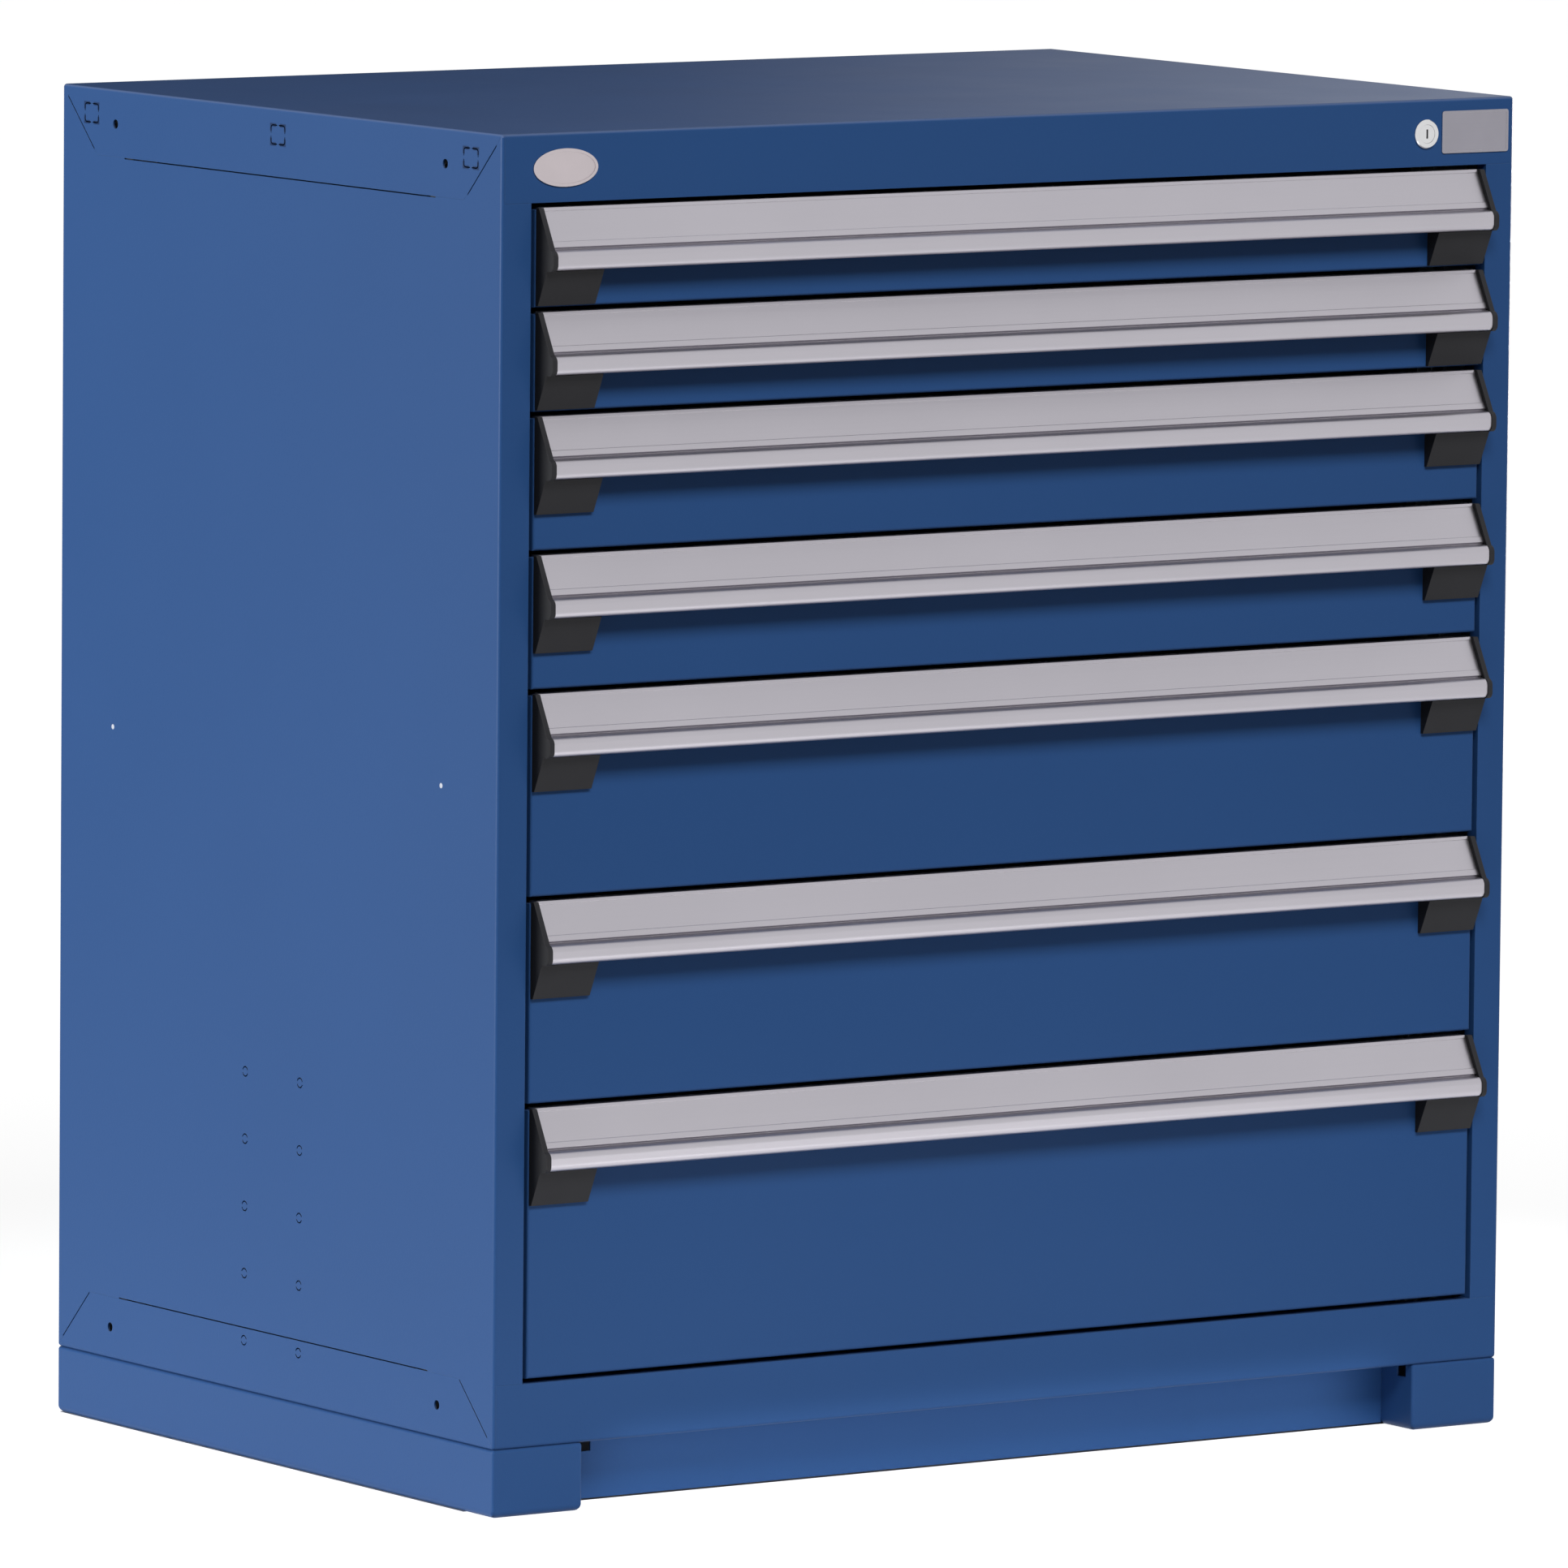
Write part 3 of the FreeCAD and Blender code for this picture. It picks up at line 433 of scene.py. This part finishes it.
# Round marks at one height on both post lines of a side
def makeSideMarks():
    group, into, out = newGroup(
        "sideMarks",
        {
            "Vector": ("Vector", None), "Middle": ("Float", 0.0), "Across": ("Float", 0.2),
            "Height": ("Float", 0.5), "Radius": ("Float", 0.003),
        },
        {"Mask": "Float"},
    )
    crispness = 4.0  # of the edge of a mark
    squares = [mathNode(group, "POWER", length, 2.0) for length in fromMark(group, into)]
    distance = mathNode(group, "SQRT", mathNode(group, "ADD", *squares))
    share = mathNode(group, "DIVIDE", distance, into.outputs["Radius"])
    mask = mathNode(group, "MULTIPLY", mathNode(group, "SUBTRACT", 1.0, share), crispness, clamp=True)
    group.links.new(mask, out.inputs["Mask"])
    return group


# Painted shade in a rim round the punched oblongs at one height of a side, broken at the middle of each
# edge
def makePunchedRimShade():
    group, into, out = newGroup(
        "punchedRimShade",
        {
            "Vector": ("Vector", None), "Middle": ("Float", 0.0),
            "Across": ("Float", 0.2), "Height": ("Float", 0.5),
            "Half Length": ("Float", 0.01), "Half Height": ("Float", 0.0075),
            "Width": ("Float", 0.001), "Bridge": ("Float", 0.002),
        },
        {"Mask": "Float"},
    )
    crispness = 2.5  # of the edge of the painted rim shade
    across, up = (mathNode(group, "ABSOLUTE", length) for length in fromMark(group, into))
    endways = mathNode(group, "SUBTRACT", across, into.outputs["Half Length"])
    upwards = mathNode(group, "SUBTRACT", up, into.outputs["Half Height"])
    fromRim = mathNode(group, "ABSOLUTE", mathNode(group, "MAXIMUM", endways, upwards))
    share = mathNode(group, "DIVIDE", fromRim, into.outputs["Width"])
    band = mathNode(group, "MULTIPLY", mathNode(group, "SUBTRACT", 1.0, share), crispness, clamp=True)
    nearest = mathNode(group, "MINIMUM", across, up)
    whole = mathNode(group, "GREATER_THAN", nearest, into.outputs["Bridge"])
    group.links.new(mathNode(group, "MULTIPLY", band, whole), out.inputs["Mask"])
    return group


orangePeel = makeOrangePeel()
toneDrift = makeToneDrift()
paintedEdgeHighlight = makePaintedEdgeHighlight()
paintedFoldHighlight = makePaintedFoldHighlight()
upwardShade = makeUpwardShade()
drawnLines = makeDrawnLines()
sideMarks = makeSideMarks()
punchedRimShade = makePunchedRimShade()
print("shader groups made")


# Finishes

# A group node whose inputs are numbers, colours or links
def useGroup(tree, group, **values):
    node = tree.nodes.new("ShaderNodeGroup")
    node.node_tree = group
    for title, value in values.items():
        if isinstance(value, bpy.types.NodeSocket):
            tree.links.new(value, node.inputs[title])
        else:
            node.inputs[title].default_value = value
    return node.outputs[0]


def roundedEdges(tree, radius):
    node = tree.nodes.new("ShaderNodeBevel")
    node.samples = 4
    node.inputs["Radius"].default_value = radius
    return node.outputs["Normal"]


# The colour of a finish, a little uneven over the surface
def unevenColor(tree, place, settings):
    return useGroup(
        tree, toneDrift, Vector=place, Color=settings["color"],
        Scale=settings["toneScale"], Spread=settings["tone"],
    )


# A colour with a painted highlight along its edges
def withEdgeHighlight(tree, place, settings, color, rounded):
    edge = useGroup(tree, paintedEdgeHighlight, Rounded=rounded, Vector=place, Reach=settings["edgeReach"])
    return mixColors(tree, edge, color, settings["edgeHighlightColor"])


def addBump(tree, shader, height, depth, normal):
    node = tree.nodes.new("ShaderNodeBump")
    node.inputs["Distance"].default_value = depth
    tree.links.new(height, node.inputs["Height"])
    tree.links.new(normal, node.inputs["Normal"])
    tree.links.new(node.outputs["Normal"], shader.inputs["Normal"])


enamel = {
    "color": (0.026, 0.084, 0.243, 1),
    # the edge colour is a painted highlight along the edges
    "edgeHighlightColor": (0.075, 0.155, 0.340, 1),
    # the fold colour is a painted highlight on the upper folds
    "foldHighlightColor": (0.092, 0.150, 0.310, 1),
    # the colour for faces that look up is a painted shade, greyer and darker
    "upwardShadeColor": (0.045, 0.045, 0.055, 1),
    "tone": 0.05,
    "toneScale": 2.4,
    "roughness": (0.36, 0.44),
    "sheenScale": 9.0,  # of the patches in the roughness
    "gloss": 0.12,
    "peelScale": 420.0,
    "peelDepth": 0.00005,
    "edgeRadius": 0.0007,
    "edgeReach": 2.0,
    "foldReach": 5.0,
    # how much painted shade the faces that look up get
    "upShade": 0.30,
}

sideMarking = {
    "middle": 0.01175,  # half way back along the side
    "across": 0.2286,  # from there to each post line
    "speck": {"height": 0.5334, "radius": 0.0022, "color": (0.62, 0.66, 0.74, 1)},
    "welds": [{"height": 0.938, "radius": 0.0060}, {"height": 0.127, "radius": 0.0060}],
    "weldDepth": 0.35,  # against the ripples of the coat
    "oblongs": {"height": 0.9964, "halfLength": 0.0096, "halfHeight": 0.0071, "across": (0.0, 0.2628)},
    # painted shade round the punched oblongs
    "rim": {"width": 0.0016, "bridge": 0.0026, "color": (0.008, 0.030, 0.098, 1)},
}


# Specks, and painted shade round the punched oblongs, in the colour of a side
def markColor(tree, place, color):
    middle = sideMarking["middle"]
    speck, oblongs, rim = sideMarking["speck"], sideMarking["oblongs"], sideMarking["rim"]
    mask = useGroup(
        tree, sideMarks, Vector=place, Middle=middle, Across=sideMarking["across"],
        Height=speck["height"], Radius=speck["radius"],
    )
    color = mixColors(tree, mask, color, speck["color"])
    for across in oblongs["across"]:
        mask = useGroup(tree, punchedRimShade, **{
            "Vector": place, "Middle": middle, "Across": across, "Height": oblongs["height"],
            "Half Length": oblongs["halfLength"], "Half Height": oblongs["halfHeight"],
            "Width": rim["width"], "Bridge": rim["bridge"],
        })
        color = mixColors(tree, mask, color, rim["color"])
    return color


# Shallow weld spots in the height of a side's coat
def markHeight(tree, place, height):
    for weld in sideMarking["welds"]:
        mask = useGroup(
            tree, sideMarks, Vector=place, Middle=sideMarking["middle"], Across=sideMarking["across"],
            Height=weld["height"], Radius=weld["radius"],
        )
        sunk = mathNode(tree, "MULTIPLY", mask, sideMarking["weldDepth"])
        height = mathNode(tree, "SUBTRACT", height, sunk)
    return height


# Blue baked enamel, with a painted highlight along its edges and painted shade on faces that look up. The
# housing's upper folds get a painted highlight too, and its sides are marked, with painted shade in rims
# round their punched oblongs.
def makeEnamel(name, shining=False, marked=False):
    material, tree, shader, place = startMaterial(name)
    rounded = roundedEdges(tree, enamel["edgeRadius"])
    color = withEdgeHighlight(tree, place, enamel, unevenColor(tree, place, enamel), rounded)
    if shining:
        fold = useGroup(tree, paintedFoldHighlight, Reach=enamel["foldReach"])
        color = mixColors(tree, fold, color, enamel["foldHighlightColor"])
    # painted shade on faces that look up
    upShade = useGroup(tree, upwardShade, Vector=place, Amount=enamel["upShade"])
    color = mixColors(tree, upShade, color, enamel["upwardShadeColor"])
    peel = useGroup(tree, orangePeel, Vector=place, Scale=enamel["peelScale"])
    if marked:
        color = markColor(tree, place, color)
        peel = markHeight(tree, place, peel)
    tree.links.new(color, shader.inputs["Base Color"])
    sheen = noiseNode(tree, place, enamel["sheenScale"], detail=3.0)
    tree.links.new(rampNode(tree, sheen, 0, 1, *enamel["roughness"]), shader.inputs["Roughness"])
    shader.inputs["Specular IOR Level"].default_value = enamel["gloss"]
    addBump(tree, shader, peel, enamel["peelDepth"], rounded)
    return material


metals = {  # stretch is how often the drawn lines repeat in a metre, along X, Y and Z
    # each edge colour below is a painted highlight along the edges
    "handleAluminium": {
        "slot": "handle_aluminium", "color": (0.475, 0.456, 0.498, 1), "edgeHighlightColor": (0.72, 0.70, 0.73, 1),
        "stretch": (2.5, 1100, 1100), "roughness": (0.34, 0.44), "depth": 0.00002,
        "tone": 0.05, "toneScale": 6.0, "edgeRadius": 0.0007, "edgeReach": 2.0,
    },
    "zincPlate": {
        "slot": "zinc_plate", "color": (0.50, 0.51, 0.53, 1), "edgeHighlightColor": (0.66, 0.67, 0.69, 1),
        "stretch": (120, 14, 120), "roughness": (0.28, 0.46), "depth": 0.00002,
        "tone": 0.16, "toneScale": 45.0, "edgeRadius": 0.0004, "edgeReach": 2.0,
        # painted shade where it lies against a side, which shows through the open seams
        "lappedShade": {"color": (0.04, 0.045, 0.05, 1), "within": 0.0022},
    },
    "rollerSteel": {
        "slot": "roller_steel", "color": (0.36, 0.37, 0.39, 1), "edgeHighlightColor": (0.58, 0.59, 0.61, 1),
        "stretch": (1500, 60, 60), "roughness": (0.22, 0.36), "depth": 0.00002,
        "tone": 0.10, "toneScale": 30.0, "edgeRadius": 0.0004, "edgeReach": 2.0,
    },
    "lockChrome": {
        "slot": "lock_chrome", "color": (0.66, 0.66, 0.67, 1), "edgeHighlightColor": (0.88, 0.88, 0.89, 1),
        "stretch": (300, 300, 2200), "roughness": (0.10, 0.22), "depth": 0.000004,
        "tone": 0.04, "toneScale": 80.0, "edgeRadius": 0.0003, "edgeReach": 2.0,
    },
    "badgeMetal": {
        "slot": "badge_metal", "color": (0.53, 0.475, 0.495, 1), "edgeHighlightColor": (0.80, 0.78, 0.79, 1),
        "stretch": (12, 400, 1400), "roughness": (0.30, 0.42), "depth": 0.00001,
        "tone": 0.06, "toneScale": 40.0, "edgeRadius": 0.0003, "edgeReach": 2.0,
    },
    "labelMetal": {
        "slot": "label_metal", "color": (0.31, 0.30, 0.34, 1), "edgeHighlightColor": (0.82, 0.80, 0.82, 1),
        "stretch": (10, 400, 1800), "roughness": (0.34, 0.48), "depth": 0.00001,
        "tone": 0.06, "toneScale": 30.0, "edgeRadius": 0.0003, "edgeReach": 2.0,
    },
}


def makeMetal(name, settings):
    material, tree, shader, place = startMaterial(name)
    rounded = roundedEdges(tree, settings["edgeRadius"])
    color = withEdgeHighlight(tree, place, settings, unevenColor(tree, place, settings), rounded)
    # painted shade on the face that lies against a side
    if "lappedShade" in settings:
        lappedShade = settings["lappedShade"]
        fromMiddle = mathNode(tree, "ABSOLUTE", splitNode(tree, place)["X"])
        mask = mathNode(tree, "GREATER_THAN", fromMiddle, cadHigh[0] - lappedShade["within"])
        color = mixColors(tree, mask, color, lappedShade["color"])
    tree.links.new(color, shader.inputs["Base Color"])
    shader.inputs["Metallic"].default_value = 1.0
    lines = useGroup(tree, drawnLines, Vector=place, Stretch=settings["stretch"])
    tree.links.new(rampNode(tree, lines, 0, 1, *settings["roughness"]), shader.inputs["Roughness"])
    addBump(tree, shader, lines, settings["depth"], rounded)
    return material


plastics = {  # grain is how often the moulded grain repeats in a metre
    # each edge colour below is a painted highlight along the edges
    "capNylon": {
        "slot": "cap_plastic", "color": (0.026, 0.026, 0.029, 1), "edgeHighlightColor": (0.060, 0.060, 0.065, 1),
        "grain": 1500.0, "fine": 0.5, "depth": 0.00008, "roughness": (0.50, 0.62), "gloss": 0.20,
        "tone": 0.10, "toneScale": 60.0, "edgeRadius": 0.0008, "edgeReach": 2.5,
        "cheek": {"color": (0.007, 0.007, 0.008, 1), "steepness": 4.0},  # darker on faces that look sideways, along X
    },
    "guideNylon": {
        "slot": "guide_plastic", "color": (0.74, 0.73, 0.69, 1), "edgeHighlightColor": (0.80, 0.79, 0.76, 1),
        "grain": 700.0, "fine": 0.5, "depth": 0.00004, "roughness": (0.42, 0.52), "gloss": 0.5,
        "tone": 0.10, "toneScale": 60.0, "edgeRadius": 0.0006, "edgeReach": 2.5,
    },
}


def makePlastic(name, settings):
    material, tree, shader, place = startMaterial(name)
    rounded = roundedEdges(tree, settings["edgeRadius"])
    color = unevenColor(tree, place, settings)
    # darker on faces that look sideways, along X
    if "cheek" in settings:
        cheek = settings["cheek"]
        sideways = mathNode(tree, "ABSOLUTE", faceNode(tree)["X"])
        mask = mathNode(tree, "POWER", sideways, cheek["steepness"], clamp=True)
        color = mixColors(tree, mask, color, cheek["color"])
    color = withEdgeHighlight(tree, place, settings, color, rounded)
    tree.links.new(color, shader.inputs["Base Color"])
    grain = useGroup(tree, orangePeel, Vector=place, Scale=settings["grain"], Fine=settings["fine"])
    tree.links.new(rampNode(tree, grain, 0, 1, *settings["roughness"]), shader.inputs["Roughness"])
    shader.inputs["Specular IOR Level"].default_value = settings["gloss"]
    addBump(tree, shader, grain, settings["depth"], rounded)
    return material


finishes = {
    "housing_paint": makeEnamel("housingEnamel", shining=True),
    "drawer_paint": makeEnamel("drawerEnamel"),
    "base_paint": makeEnamel("baseEnamel"),
}
for family, makeFinish in ((metals, makeMetal), (plastics, makePlastic)):
    for finishName, finishSettings in family.items():
        finishes[finishSettings["slot"]] = makeFinish(finishName, finishSettings)
markedEnamel = makeEnamel("sideEnamel", shining=True, marked=True)
markedNodes = ("left_side_panel", "right_side_panel", "top_panel")  # the top has the punched oblongs, with their painted rim shade, in its side folds
print("finishes made:", len(finishes) + 1)

for nodeName, node in nodes.items():
    finish = markedEnamel if nodeName in markedNodes else finishes[slotOf[nodeName]]
    for materialSlot in node.material_slots:
        materialSlot.material = finish
print("finishes put on")
